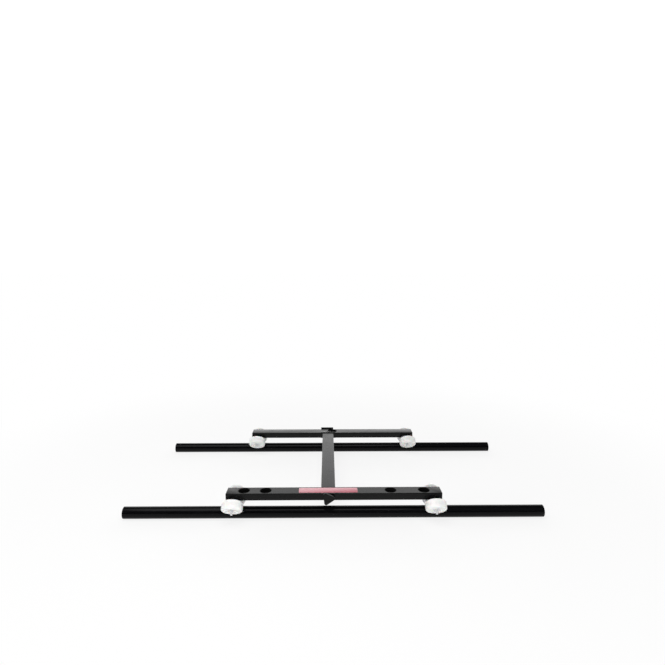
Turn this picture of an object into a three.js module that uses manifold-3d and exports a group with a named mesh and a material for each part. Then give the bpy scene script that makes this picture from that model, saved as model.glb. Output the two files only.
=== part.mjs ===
// Dolly track: two pipe rails that lie on the floor and the H shaped carriage that rolls along them.
// Millimetres. +X runs along the rails, +Y from the label side to the far side, +Z is up.
// The origin is on the floor, half way between the rails and half way along them.

import * as THREE from 'three';
import { mergeVertices } from 'three/addons/utils/BufferGeometryUtils.js';
import Module from 'manifold-3d';

const wasm = await Module();
wasm.setup();

// Driving dimensions
const SEAT_GAP = 0.3; // left between pieces that touch
const CUT_PAST = 1; // how far a cutter runs past the face that it opens
const GAUGE = 620; // rail centre to rail centre

const RAIL_LENGTH = 1500; // over both end plugs
const RAIL_DIAMETER = 42.2;
const RAIL_WALL = 3.5;
const PLUG_FLANGE = 3;
const PLUG_STUB = 20;

const BAR_LENGTH = 762; // over both end caps
const BAR_WIDTH = 50.8;
const BAR_HEIGHT = 25.4;
const BAR_WALL = 2.5;
const BAR_CORNER = 2;
const BAR_UNDERSIDE = 77; // above the floor

const AXLE_INSET = 25.4; // from the end of a bar to its axles
const CAP_THICKNESS = 3;
const CAP_BEVEL = 1;
const BLOCK_DEPTH = 38; // end block, cap included
const BOSS_RADIUS = 6;
const AXLE_HOLE_RADIUS = 4;
const AXLE_HOLE_DEPTH = 25;
const AXLE_HOLE_CLEARANCE = 1; // left past the end of the axle
const BOSS_SLOT_DEPTH = 22; // from the wheel's face up into the tube

const WHEEL_DIAMETER = 75;
const WHEEL_WIDTH = 32;
const WHEEL_LIP_RADIUS = 7;
const WHEEL_TILT = Math.PI / 4; // each wheel leans half a right angle off the vertical
const HUB_WIDTH = 24; // between the two bearing faces
const HUB_RECESS_RADIUS = 19.5;
const HUB_RECESS_DRAFT = 1.5; // how much wider the recess is at the wheel's face
const HUB_BORE_RADIUS = 8;
const BEARING_OUTER_RADIUS = 11;
const BEARING_BORE_RADIUS = 4;
const BEARING_WIDTH = 7;

const AXLE_RADIUS = 3.7;
const AXLE_WASHER_RADIUS = 7.6;
const AXLE_WASHER_THICKNESS = 1.6;
const LOCK_NUT_FLATS = 13;
const LOCK_NUT_HEIGHT = 6.5;
const LOCK_NUT_COLLAR_RADIUS = 5.7;
const LOCK_NUT_COLLAR_HEIGHT = 1.8;
const AXLE_END = 6.3; // how far the bolt stands out of its nut
const AXLE_END_RADIUS = 3.9;

const CENTRE_X = -21; // centre bar, clamp knob and inner cups share this offset
const OUTER_CUP_X = 320; // each side of the bar's middle
const INNER_CUP_X = 222; // each side of CENTRE_X
const CUP_RADIUS = 20.7;
const CUP_RIM = -1; // a little below the bar's top face
const CUP_MOUTH_RADIUS = 19.3;
const CUP_FLOOR_RADIUS = 17;
const CUP_DEPTH = 16.5; // from the bar's top face to the cup's floor

const SADDLE_X = -25;
const SADDLE_WIDTH = 58;
const SADDLE_FLANGE_WIDTH = 70; // down the front of the rear bar, centred on the centre bar
const SADDLE_THICKNESS = 3;
const SADDLE_LIP = 6; // how far the rear lip stands above the plate
const SADDLE_CHAMFER = 1;
const SADDLE_FLANGE_RISE = 1; // from the bar's underside to the flange's lower edge
const SADDLE_BITE_MARGIN = 1; // between the saddle and the rear cup's hole

const CENTRE_PLUG_LENGTH = 32;
const CLAMP_THREAD_RUNOUT = 2; // past the end of the clamp bolt
const KNOB_LOBES = 3;
const KNOB_TIP_RADIUS = 23.5;
const KNOB_TIP_ROUND = 7;
const KNOB_THICKNESS = 12;
const KNOB_DISH_RADIUS = 9.5;
const KNOB_DISH_DEPTH = 1.2;
const KNOB_HUB_RADIUS = 9.5;
const KNOB_HUB_HEIGHT = 4.5;
const KNOB_HUB_OVERLAP = 2; // how far the hub runs into the lobes
const KNOB_LOBE_ANGLE = THREE.MathUtils.degToRad(5); // from level, with the clamp tight
const KNOB_BEVEL = 2.2;
const CLAMP_BOLT_RADIUS = 4;
const CLAMP_BOLT_REACH = 22; // into the centre bar's front plug
const CLAMP_BOLT_IN_KNOB = 8; // depth of its hole past the knob's hub
const CLAMP_HOLE_RADIUS = 4.5;
const CLAMP_WASHER_RADIUS = 11;
const CLAMP_WASHER_THICKNESS = 2;

// Faces on round forms
const RAIL_FACES = 32;
const WHEEL_FACES = 24;
const SMALL_FACES = 12;
const CUP_FACES = 18;

// Worked out from the driving dimensions
const RAIL_RADIUS = RAIL_DIAMETER / 2;
const BAR_TOP = BAR_UNDERSIDE + BAR_HEIGHT;
const BAR_MIDDLE_Z = BAR_UNDERSIDE + BAR_HEIGHT / 2;
const WHEELBASE = BAR_LENGTH - 2 * AXLE_INSET;
const TUBE_LENGTH = BAR_LENGTH - 2 * CAP_THICKNESS - 2 * SEAT_GAP;
const WHEEL_RADIUS = WHEEL_DIAMETER / 2;
const WHEEL_OFFSET = (RAIL_RADIUS + WHEEL_RADIUS + SEAT_GAP) * Math.SQRT1_2;
const CUP_HOLE_RADIUS = CUP_RADIUS + SEAT_GAP;

// Finishes
const finish = (color, roughness, metalness) => () =>
  new THREE.MeshStandardMaterial({ color, roughness, metalness });
const blackEnamel = finish(0x0c0c0d, 0.22, 0.0);
const blackPlastic = finish(0x141415, 0.45, 0.0);
const blackRubber = finish(0x101010, 0.8, 0.0);
const whiteUrethane = finish(0xf2f2ee, 0.4, 0.0);
const brightSteel = finish(0xa9aaab, 0.3, 1.0);

// Builds a named piece and hangs it on its parent group.
function piece(parent, name, geometry, material) {
  const mesh = new THREE.Mesh(geometry, material());
  mesh.name = name;
  parent.add(mesh);
  return mesh;
}

function groupAt(parent, x, y, z, tiltX = 0) {
  const group = new THREE.Group();
  group.position.set(x, y, z);
  group.rotation.x = tiltX;
  parent.add(group);
  return group;
}

// Joining and cutting of closed solids
function solid(geometry, matrix = new THREE.Matrix4()) {
  const bare = geometry.clone().applyMatrix4(matrix);
  bare.deleteAttribute('normal');
  bare.deleteAttribute('uv');
  const merged = mergeVertices(bare, 1e-4);
  return new wasm.Manifold(
    new wasm.Mesh({
      numProp: 3,
      vertProperties: Float32Array.from(merged.attributes.position.array),
      triVerts: Uint32Array.from(merged.index.array),
    }),
  );
}

function geometryOf(manifold) {
  const mesh = manifold.getMesh();
  const geometry = new THREE.BufferGeometry();
  geometry.setAttribute('position', new THREE.BufferAttribute(mesh.vertProperties, 3));
  geometry.setIndex(new THREE.BufferAttribute(mesh.triVerts, 1));
  geometry.computeVertexNormals();
  return geometry;
}

// A profile of [radius, height] points turned about Z. It rises on the outside.
function revolve(profile, faces, closed = false) {
  const points = profile.map(([radius, height]) => new THREE.Vector2(radius, height));
  if (closed) points.push(points[0].clone());
  return new THREE.LatheGeometry(points, faces).rotateX(Math.PI / 2);
}

function ring(innerRadius, outerRadius, low, high, faces) {
  const profile = [[innerRadius, low], [outerRadius, low], [outerRadius, high], [innerRadius, high]];
  return revolve(profile, faces, true);
}

function rod(radius, low, high, faces) {
  return revolve([[0, low], [radius, low], [radius, high], [0, high]], faces);
}

// Sections are drawn in Y and Z and extruded along X, centred on x = 0.
function extrudeAlongX(shape, length, options = {}) {
  const geometry = new THREE.ExtrudeGeometry(shape, {
    depth: length,
    bevelEnabled: false,
    curveSegments: 1,
    ...options,
  });
  const swap = new THREE.Matrix4().makeBasis(
    new THREE.Vector3(0, 1, 0),
    new THREE.Vector3(0, 0, 1),
    new THREE.Vector3(1, 0, 0),
  );
  return geometry.applyMatrix4(swap).translate(-length / 2, 0, 0);
}

function roundedRectangle(path, width, height, radius) {
  const x = width / 2;
  const y = height / 2;
  path.moveTo(-x + radius, -y);
  path.lineTo(x - radius, -y);
  path.absarc(x - radius, -y + radius, radius, -Math.PI / 2, 0);
  path.lineTo(x, y - radius);
  path.absarc(x - radius, y - radius, radius, 0, Math.PI / 2);
  path.lineTo(-x + radius, y);
  path.absarc(-x + radius, y - radius, radius, Math.PI / 2, Math.PI);
  path.lineTo(-x, -y + radius);
  path.absarc(-x + radius, -y + radius, radius, Math.PI, Math.PI * 1.5);
  return path;
}

// Rectangular tube about its own centre line
function barTube(length) {
  const section = roundedRectangle(new THREE.Shape(), BAR_WIDTH, BAR_HEIGHT, BAR_CORNER);
  const bore = roundedRectangle(
    new THREE.Path(),
    BAR_WIDTH - 2 * BAR_WALL,
    BAR_HEIGHT - 2 * BAR_WALL,
    BAR_CORNER / 2,
  );
  section.holes.push(bore);
  return extrudeAlongX(section, length);
}

// Solid insert that slides into a tube end
function barInsert(length) {
  const width = BAR_WIDTH - 2 * BAR_WALL - 2 * SEAT_GAP;
  const height = BAR_HEIGHT - 2 * BAR_WALL - 2 * SEAT_GAP;
  return extrudeAlongX(roundedRectangle(new THREE.Shape(), width, height, BAR_CORNER), length);
}

// Rails
function railTube() {
  const section = new THREE.Shape();
  section.absarc(0, 0, RAIL_RADIUS, 0, Math.PI * 2);
  const bore = new THREE.Path();
  bore.absarc(0, 0, RAIL_RADIUS - RAIL_WALL, 0, Math.PI * 2);
  section.holes.push(bore);
  const length = RAIL_LENGTH - 2 * PLUG_FLANGE - 2 * SEAT_GAP;
  return extrudeAlongX(section, length, { curveSegments: RAIL_FACES / 2 });
}

// The plug's flange faces -X, its stub points into the pipe.
function railPlug() {
  const edge = 1.2;
  const stubRadius = RAIL_RADIUS - RAIL_WALL - SEAT_GAP;
  const profile = [
    [0, 0],
    [RAIL_RADIUS - edge, 0],
    [RAIL_RADIUS, edge],
    [RAIL_RADIUS, PLUG_FLANGE],
    [stubRadius, PLUG_FLANGE],
    [stubRadius - edge, PLUG_FLANGE + PLUG_STUB],
    [0, PLUG_FLANGE + PLUG_STUB],
  ];
  return revolve(profile, RAIL_FACES / 2).rotateY(Math.PI / 2);
}

function addRail(parent, name, y) {
  const rail = groupAt(parent, 0, y, RAIL_RADIUS);
  piece(rail, `rail_${name}`, railTube(), blackEnamel);
  for (const [side, sign] of [['left', -1], ['right', 1]]) {
    const plug = piece(rail, `rail_plug_${name}_${side}`, railPlug(), blackPlastic);
    plug.position.x = sign * RAIL_LENGTH / 2;
    plug.rotation.z = sign < 0 ? 0 : Math.PI;
  }
}

// Places something on the axle line of the near (side = -1) or far (side = 1) wheel of a truck.
function axleMatrix(side) {
  const place = new THREE.Matrix4().makeTranslation(0, side * WHEEL_OFFSET, RAIL_RADIUS + WHEEL_OFFSET);
  return place.multiply(new THREE.Matrix4().makeRotationX(side * WHEEL_TILT));
}

// End block of a bar: a cap over the tube's end, an insert that slides into the tube (towards +X),
// and a threaded boss on each lower edge, square to its axle. x = 0 is on the axle line.
function endBlock() {
  const capSection = roundedRectangle(new THREE.Shape(), BAR_WIDTH, BAR_HEIGHT, BAR_CORNER);
  const cap = extrudeAlongX(capSection, CAP_THICKNESS - 2 * CAP_BEVEL, {
    bevelEnabled: true,
    bevelThickness: CAP_BEVEL,
    bevelSize: CAP_BEVEL,
    bevelOffset: -CAP_BEVEL,
    bevelSegments: 1,
  }).translate(-AXLE_INSET + CAP_THICKNESS / 2, 0, BAR_MIDDLE_Z);
  const insertLength = BLOCK_DEPTH - CAP_THICKNESS / 2;
  const insertMiddle = -AXLE_INSET + BLOCK_DEPTH - insertLength / 2;
  const insert = barInsert(insertLength).translate(insertMiddle, 0, BAR_MIDDLE_Z);
  const bossTip = HUB_WIDTH / 2 + SEAT_GAP;
  let block = solid(cap).add(solid(insert));
  for (const side of [-1, 1]) {
    const boss = rod(BOSS_RADIUS, bossTip, bossTip + AXLE_HOLE_DEPTH, SMALL_FACES);
    block = block.add(solid(boss, axleMatrix(side)));
  }
  for (const side of [-1, 1]) {
    const hole = rod(AXLE_HOLE_RADIUS, bossTip - CUT_PAST, bossTip + AXLE_HOLE_DEPTH, SMALL_FACES);
    block = block.subtract(solid(hole, axleMatrix(side)));
  }
  return geometryOf(block);
}

// Slot in a tube's lower edge that lets a boss slide in from the bar's end.
function bossSlot(end, side) {
  const radius = BOSS_RADIUS + SEAT_GAP;
  const low = WHEEL_WIDTH / 2;
  const high = low + BOSS_SLOT_DEPTH;
  const round = rod(radius, low, high, SMALL_FACES);
  const open = new THREE.BoxGeometry(2 * AXLE_INSET, 2 * radius, high - low);
  open.translate(end * AXLE_INSET, 0, (low + high) / 2);
  const place = new THREE.Matrix4().makeTranslation(end * WHEELBASE / 2, 0, -BAR_MIDDLE_Z);
  place.multiply(axleMatrix(side));
  return solid(round, place).add(solid(open, place));
}

// Wheel: cast tread with round lips, a recess on each face and a stepped bore for two bearings.
function wheelGeometry() {
  const half = WHEEL_WIDTH / 2;
  const hub = HUB_WIDTH / 2;
  const seat = BEARING_OUTER_RADIUS + SEAT_GAP;
  const shoulder = hub - BEARING_WIDTH - SEAT_GAP;
  const lip = (angle) => [
    WHEEL_RADIUS - WHEEL_LIP_RADIUS + WHEEL_LIP_RADIUS * Math.cos(angle),
    half - WHEEL_LIP_RADIUS + WHEEL_LIP_RADIUS * Math.sin(angle),
  ];
  const upper = [
    lip(0),
    lip(Math.PI / 4),
    lip(Math.PI / 2),
    [HUB_RECESS_RADIUS + HUB_RECESS_DRAFT, half],
    [HUB_RECESS_RADIUS, hub],
    [seat, hub],
    [seat, shoulder],
    [HUB_BORE_RADIUS, shoulder],
  ];
  const lower = upper.map(([radius, height]) => [radius, -height]).reverse();
  return revolve([...lower, ...upper], WHEEL_FACES, true);
}

// Shielded ball bearing with its outer face at z = 0
function bearingGeometry() {
  return ring(BEARING_BORE_RADIUS, BEARING_OUTER_RADIUS, -BEARING_WIDTH, 0, SMALL_FACES);
}

// Axle: a bolt from the boss through both bearings, with its washer and lock nut outside the wheel.
function axleBolt() {
  const chamfer = 1;
  const face = -HUB_WIDTH / 2 - SEAT_GAP;
  const washerFace = face - AXLE_WASHER_THICKNESS;
  const nutFace = washerFace - LOCK_NUT_HEIGHT;
  const collarFace = nutFace - LOCK_NUT_COLLAR_HEIGHT;
  const outerEnd = collarFace - AXLE_END;
  const innerEnd = HUB_WIDTH / 2 + AXLE_HOLE_DEPTH - AXLE_HOLE_CLEARANCE;
  const turned = revolve(
    [
      [0, outerEnd],
      [AXLE_END_RADIUS - chamfer, outerEnd],
      [AXLE_END_RADIUS, outerEnd + chamfer],
      [AXLE_END_RADIUS, collarFace],
      [LOCK_NUT_COLLAR_RADIUS - chamfer, collarFace],
      [LOCK_NUT_COLLAR_RADIUS, collarFace + chamfer],
      [LOCK_NUT_COLLAR_RADIUS, washerFace],
      [AXLE_WASHER_RADIUS, washerFace],
      [AXLE_WASHER_RADIUS, face],
      [AXLE_RADIUS, face],
      [AXLE_RADIUS, innerEnd],
      [0, innerEnd],
    ],
    SMALL_FACES,
  );
  const nutRadius = LOCK_NUT_FLATS / 2 / Math.cos(Math.PI / 6);
  const nut = rod(nutRadius, nutFace, washerFace + AXLE_WASHER_THICKNESS / 2, 6);
  return geometryOf(solid(turned).add(solid(nut)));
}

// A truck is an end block with its two wheels, at one end of a bar.
function addTruck(bar, name, end) {
  const truck = groupAt(bar, end * WHEELBASE / 2, 0, 0);
  const block = piece(truck, `end_block_${name}`, endBlock(), blackPlastic);
  block.rotation.z = end < 0 ? 0 : Math.PI;
  for (const [label, side] of [['near', -1], ['far', 1]]) {
    const axle = groupAt(truck, 0, side * WHEEL_OFFSET, RAIL_RADIUS + WHEEL_OFFSET, side * WHEEL_TILT);
    piece(axle, `wheel_${name}_${label}`, wheelGeometry(), whiteUrethane);
    const inner = piece(axle, `inner_bearing_${name}_${label}`, bearingGeometry(), brightSteel);
    inner.position.z = HUB_WIDTH / 2;
    const outer = piece(axle, `outer_bearing_${name}_${label}`, bearingGeometry(), brightSteel);
    outer.position.z = -HUB_WIDTH / 2;
    outer.rotation.x = Math.PI;
    piece(axle, `axle_bolt_${name}_${label}`, axleBolt(), brightSteel);
  }
}

// Foot cup: a socket in a hole in a bar's top face, which stands on the tube's lower wall.
// Heights are measured from the top face.
function footCup() {
  const chamfer = 1.5;
  const foot = BAR_WALL + SEAT_GAP - BAR_HEIGHT;
  const profile = [
    [0, foot],
    [CUP_RADIUS - chamfer, foot],
    [CUP_RADIUS, foot + chamfer],
    [CUP_RADIUS, CUP_RIM],
    [CUP_MOUTH_RADIUS, CUP_RIM],
    [CUP_FLOOR_RADIUS, -CUP_DEPTH],
    [0, -CUP_DEPTH],
  ];
  return revolve(profile, CUP_FACES);
}

function cupHole(x) {
  return solid(rod(CUP_HOLE_RADIUS, 0, BAR_HEIGHT, CUP_FACES).translate(x, 0, 0));
}

function clampHole() {
  const hole = rod(CLAMP_HOLE_RADIUS, -BAR_WIDTH, BAR_WIDTH, SMALL_FACES).rotateX(Math.PI / 2);
  return solid(hole.translate(CENTRE_X, 0, 0));
}

// Cross bar: tube with its foot cups and a truck at each end.
function addCrossBar(parent, name, y, cups, clamped) {
  const bar = groupAt(parent, 0, y, 0);
  let tube = solid(barTube(TUBE_LENGTH));
  for (const end of [-1, 1]) {
    for (const side of [-1, 1]) tube = tube.subtract(bossSlot(end, side));
  }
  for (const cup of cups) tube = tube.subtract(cupHole(cup.x));
  if (clamped) tube = tube.subtract(clampHole());
  const tubeMesh = piece(bar, `${name}_bar`, geometryOf(tube), blackEnamel);
  tubeMesh.position.z = BAR_MIDDLE_Z;
  for (const cup of cups) {
    const mesh = piece(bar, `foot_cup_${name}_${cup.label}`, footCup(), blackRubber);
    mesh.position.set(cup.x, 0, BAR_TOP);
  }
  addTruck(bar, `${name}_left`, -1);
  addTruck(bar, `${name}_right`, 1);
}

// Centre bar with its two end plugs. The front plug is threaded for the clamp bolt.
function addCentreBar(parent) {
  const front = -GAUGE / 2 + BAR_WIDTH / 2 + SEAT_GAP;
  const rear = GAUGE / 2 - BAR_WIDTH / 2 - SADDLE_THICKNESS - 2 * SEAT_GAP;
  const length = rear - front;
  const bar = groupAt(parent, CENTRE_X, (front + rear) / 2, BAR_MIDDLE_Z);
  bar.rotation.z = Math.PI / 2;
  piece(bar, 'centre_bar', barTube(length), blackEnamel);
  const inset = (length - CENTRE_PLUG_LENGTH) / 2;
  const threadEnd = CLAMP_BOLT_REACH + CLAMP_THREAD_RUNOUT - CENTRE_PLUG_LENGTH / 2;
  const thread = rod(CLAMP_BOLT_RADIUS + SEAT_GAP, -CENTRE_PLUG_LENGTH, threadEnd, SMALL_FACES);
  const frontPlug = solid(barInsert(CENTRE_PLUG_LENGTH)).subtract(solid(thread.rotateY(Math.PI / 2)));
  const frontMesh = piece(bar, 'centre_plug_front', geometryOf(frontPlug), brightSteel);
  frontMesh.position.x = -inset;
  const rearMesh = piece(bar, 'centre_plug_rear', barInsert(CENTRE_PLUG_LENGTH), brightSteel);
  rearMesh.position.x = inset;
}

// Saddle: plate over the rear bar, with a wider front flange that the centre bar is screwed to,
// a lip along its rear edge and a round bite that clears the rear foot cup.
function addSaddle(parent) {
  const front = -BAR_WIDTH / 2 - SEAT_GAP;
  const rear = BAR_WIDTH / 2;
  const low = BAR_TOP + SEAT_GAP;
  const high = low + SADDLE_THICKNESS;
  const seam = front - SADDLE_CHAMFER; // inside the flange, where the top plate ends
  const top = new THREE.Shape();
  top.moveTo(seam, low);
  top.lineTo(rear, low);
  top.lineTo(rear, high + SADDLE_LIP);
  top.lineTo(rear - SADDLE_THICKNESS, high + SADDLE_LIP);
  top.lineTo(rear - SADDLE_THICKNESS, high);
  top.lineTo(seam, high);
  top.closePath();
  const flange = new THREE.Shape();
  flange.moveTo(front - SADDLE_THICKNESS, BAR_UNDERSIDE + SADDLE_FLANGE_RISE);
  flange.lineTo(front, BAR_UNDERSIDE + SADDLE_FLANGE_RISE);
  flange.lineTo(front, high);
  flange.lineTo(front - SADDLE_THICKNESS + SADDLE_CHAMFER, high);
  flange.lineTo(front - SADDLE_THICKNESS, high - SADDLE_CHAMFER);
  flange.closePath();
  const flangePlate = extrudeAlongX(flange, SADDLE_FLANGE_WIDTH).translate(CENTRE_X - SADDLE_X, 0, 0);
  const biteRadius = CUP_HOLE_RADIUS + SADDLE_BITE_MARGIN;
  const bite = rod(biteRadius, low - CUT_PAST, high + CUT_PAST, CUP_FACES).translate(-SADDLE_X, 0, 0);
  const topPlate = solid(extrudeAlongX(top, SADDLE_WIDTH)).subtract(solid(bite));
  const saddle = piece(parent, 'rear_saddle', geometryOf(topPlate.add(solid(flangePlate))), blackEnamel);
  saddle.position.set(SADDLE_X, GAUGE / 2, 0);
}

// Clamp: knob with three round tips and straight sides, bolt and washer. Local +Z points out of the
// front bar's label side.
function knobGeometry() {
  const outline = new THREE.Shape();
  const reach = KNOB_TIP_RADIUS - KNOB_TIP_ROUND;
  const half = Math.PI / KNOB_LOBES;
  for (let lobe = 0; lobe < KNOB_LOBES; lobe += 1) {
    const angle = KNOB_LOBE_ANGLE + 2 * half * lobe;
    const x = reach * Math.cos(angle);
    const y = reach * Math.sin(angle);
    outline.absarc(x, y, KNOB_TIP_ROUND, angle - half, angle + half);
  }
  outline.closePath();
  const foot = SEAT_GAP * 2 + CLAMP_WASHER_THICKNESS;
  const lobesFoot = foot + KNOB_HUB_HEIGHT;
  const top = lobesFoot + KNOB_THICKNESS;
  const lobes = new THREE.ExtrudeGeometry(outline, {
    depth: KNOB_THICKNESS - 2 * KNOB_BEVEL,
    bevelEnabled: true,
    bevelThickness: KNOB_BEVEL,
    bevelSize: KNOB_BEVEL,
    bevelOffset: -KNOB_BEVEL,
    bevelSegments: 2,
    curveSegments: 4,
  }).translate(0, 0, lobesFoot + KNOB_BEVEL);
  const hub = rod(KNOB_HUB_RADIUS, foot, lobesFoot + KNOB_HUB_OVERLAP, CUP_FACES);
  const boltHoleEnd = lobesFoot + CLAMP_BOLT_IN_KNOB;
  const bolt = rod(CLAMP_BOLT_RADIUS + SEAT_GAP, foot - CUT_PAST, boltHoleEnd, SMALL_FACES);
  const dish = rod(KNOB_DISH_RADIUS, top - KNOB_DISH_DEPTH, top + CUT_PAST, CUP_FACES);
  return geometryOf(solid(lobes).add(solid(hub)).subtract(solid(bolt)).subtract(solid(dish)));
}

function addClamp(parent) {
  const clamp = groupAt(parent, CENTRE_X, -(GAUGE + BAR_WIDTH) / 2, BAR_MIDDLE_Z, Math.PI / 2);
  const washer = ring(
    CLAMP_HOLE_RADIUS,
    CLAMP_WASHER_RADIUS,
    SEAT_GAP,
    SEAT_GAP + CLAMP_WASHER_THICKNESS,
    CUP_FACES,
  );
  piece(clamp, 'clamp_washer', washer, brightSteel);
  piece(clamp, 'clamp_knob', knobGeometry(), blackPlastic);
  const boltEnd = SEAT_GAP + CLAMP_WASHER_THICKNESS + KNOB_HUB_HEIGHT + CLAMP_BOLT_IN_KNOB;
  const bolt = rod(CLAMP_BOLT_RADIUS, -BAR_WIDTH - SEAT_GAP - CLAMP_BOLT_REACH, boltEnd, SMALL_FACES);
  piece(clamp, 'clamp_bolt', bolt, brightSteel);
}

const dollyTrack = new THREE.Group();

const track = groupAt(dollyTrack, 0, 0, 0);
addRail(track, 'front', -GAUGE / 2);
addRail(track, 'rear', GAUGE / 2);

const carriage = groupAt(dollyTrack, 0, 0, 0);
const frontCups = [
  { label: 'outer_left', x: -OUTER_CUP_X },
  { label: 'inner_left', x: CENTRE_X - INNER_CUP_X },
  { label: 'inner_right', x: CENTRE_X + INNER_CUP_X },
  { label: 'outer_right', x: OUTER_CUP_X },
];
addCrossBar(carriage, 'front', -GAUGE / 2, frontCups, true);
addCrossBar(carriage, 'rear', GAUGE / 2, [{ label: 'middle', x: 0 }], false);
addCentreBar(carriage);
addSaddle(carriage);
addClamp(carriage);

export default dollyTrack;
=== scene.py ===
"""The looks of the dolly track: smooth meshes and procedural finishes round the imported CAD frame.

Sizes are in millimetres, and every mesh is made in metres in the frame of the CAD model: +X along the rails,
+Y from the bar with the clamp knob to the bar with the saddle, +Z up from the floor.
"""

import math

import bpy
from mathutils import Matrix, Vector


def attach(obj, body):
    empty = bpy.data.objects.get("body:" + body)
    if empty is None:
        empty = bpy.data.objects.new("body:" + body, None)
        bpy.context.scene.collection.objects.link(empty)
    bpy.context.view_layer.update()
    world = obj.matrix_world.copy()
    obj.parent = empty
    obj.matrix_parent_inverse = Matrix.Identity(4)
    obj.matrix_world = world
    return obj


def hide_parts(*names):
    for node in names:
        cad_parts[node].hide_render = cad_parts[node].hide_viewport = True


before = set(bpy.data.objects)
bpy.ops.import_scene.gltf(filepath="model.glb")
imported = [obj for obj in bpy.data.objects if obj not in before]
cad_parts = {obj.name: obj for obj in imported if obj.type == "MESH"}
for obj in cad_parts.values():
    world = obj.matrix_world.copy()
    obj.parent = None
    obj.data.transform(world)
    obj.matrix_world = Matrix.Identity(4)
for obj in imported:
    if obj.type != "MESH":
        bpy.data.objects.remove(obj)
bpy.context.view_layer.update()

MM = 0.001

# Driving dimensions, the same as those of the CAD model
SEAT_GAP = 0.3
GAUGE = 620
RAIL_LENGTH = 1500
RAIL_RADIUS = 21.1
RAIL_WALL = 3.5
PLUG_FLANGE = 3
PLUG_STUB = 20
BAR_LENGTH = 762
BAR_WIDTH = 50.8
BAR_HEIGHT = 25.4
BAR_WALL = 2.5
BAR_CORNER = 2
BAR_UNDERSIDE = 77
AXLE_INSET = 25.4
CAP_THICKNESS = 3
BLOCK_DEPTH = 38
BOSS_RADIUS = 6
BOSS_SLOT_DEPTH = 22
AXLE_HOLE_DEPTH = 25
AXLE_HOLE_CLEARANCE = 1
WHEEL_RADIUS = 37.5
WHEEL_WIDTH = 32
WHEEL_LIP_RADIUS = 7
HUB_WIDTH = 24
HUB_RECESS_RADIUS = 19.5
HUB_BORE_RADIUS = 8
BEARING_RADIUS = 11
BEARING_BORE_RADIUS = 4
BEARING_WIDTH = 7
AXLE_RADIUS = 3.7
AXLE_WASHER_RADIUS = 7.6
AXLE_WASHER_THICKNESS = 1.6
LOCK_NUT_FLATS = 13
LOCK_NUT_HEIGHT = 6.5
LOCK_NUT_COLLAR_RADIUS = 5.7
LOCK_NUT_COLLAR_HEIGHT = 1.8
AXLE_END = 6.3
AXLE_END_RADIUS = 3.9
CENTRE_X = -21
OUTER_CUP_X = 320
INNER_CUP_X = 222
CUP_RADIUS = 20.7
CUP_RIM = -1
CUP_MOUTH_RADIUS = 19.3
CUP_FLOOR_RADIUS = 17
CUP_DEPTH = 16.5
SADDLE_X = -25
SADDLE_WIDTH = 58
SADDLE_FLANGE_WIDTH = 70
SADDLE_FLANGE_RISE = 1
SADDLE_THICKNESS = 3
SADDLE_LIP = 6
SADDLE_BITE_MARGIN = 1
KNOB_TIP_RADIUS = 23.5
KNOB_TIP_ROUND = 7
KNOB_THICKNESS = 12
KNOB_DISH_RADIUS = 9.5
KNOB_DISH_DEPTH = 1.2
KNOB_HUB_RADIUS = 9.5
KNOB_HUB_HEIGHT = 4.5
KNOB_HUB_OVERLAP = 2
KNOB_LOBE_ANGLE = 5
CLAMP_BOLT_RADIUS = 4
CLAMP_BOLT_IN_KNOB = 8
CLAMP_HOLE_RADIUS = 4.5
WASHER_RADIUS = 11
WASHER_THICKNESS = 2

# Roundings, threads, the label and other fine detail that the CAD model lacks or has a little different
PLUG_EDGE = 1.2
CAP_EDGE = 1.3
BOSS_HOLE_RADIUS = 3.9
THREAD_PITCH = 1.25
THREAD_DEPTH = 0.5
THREAD_START = 0.9
THREAD_TURNS = 4
SADDLE_BEND = 1
KNOB_EDGE = 2.4
LABEL_LENGTH = 208
LABEL_WIDTH = 37
LABEL_THICKNESS = 0.25
LABEL_CORNER = 3
LABEL_LIFT = 0.03

# Worked out from them
BAR_TOP = BAR_UNDERSIDE + BAR_HEIGHT
BAR_MIDDLE_Z = BAR_UNDERSIDE + BAR_HEIGHT / 2
WHEELBASE = BAR_LENGTH - 2 * AXLE_INSET
TUBE_LENGTH = BAR_LENGTH - 2 * CAP_THICKNESS - 2 * SEAT_GAP
WHEEL_OFFSET = (RAIL_RADIUS + WHEEL_RADIUS + SEAT_GAP) * math.sqrt(0.5)
CUP_HOLE_RADIUS = CUP_RADIUS + SEAT_GAP

# The view, fitted to the photograph
CAMERA_PLACE = (-22.2, -1964.6, 908)
CAMERA_PITCH = math.radians(-8.205)
CAMERA_YAW = -0.010
CAMERA_LENS = 26.66
CAMERA_SENSOR = 36

# Brightness of the surround: what it has everywhere, and what is added low down behind the object
WORLD_DIM = 0.08
WORLD_GLOW = 1.88


# Meshes


def made(name, vertices, faces, finish, crease=30):
    """An object from vertices in millimetres, smooth but for creases sharper than that many degrees."""
    mesh = bpy.data.meshes.new(name)
    mesh.from_pydata([Vector(v) * MM for v in vertices], [], faces)
    mesh.validate()
    mesh.shade_smooth()
    mesh.set_sharp_from_angle(angle=math.radians(crease))
    mesh.materials.append(finish)
    obj = bpy.data.objects.new(name, mesh)
    bpy.context.scene.collection.objects.link(obj)
    return obj


def arc(centre, radius, start, end, steps):
    """Points on an arc, with its angles in degrees."""
    angles = [math.radians(start + (end - start) * k / steps) for k in range(steps + 1)]
    return [(centre[0] + radius * math.cos(a), centre[1] + radius * math.sin(a)) for a in angles]


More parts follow.
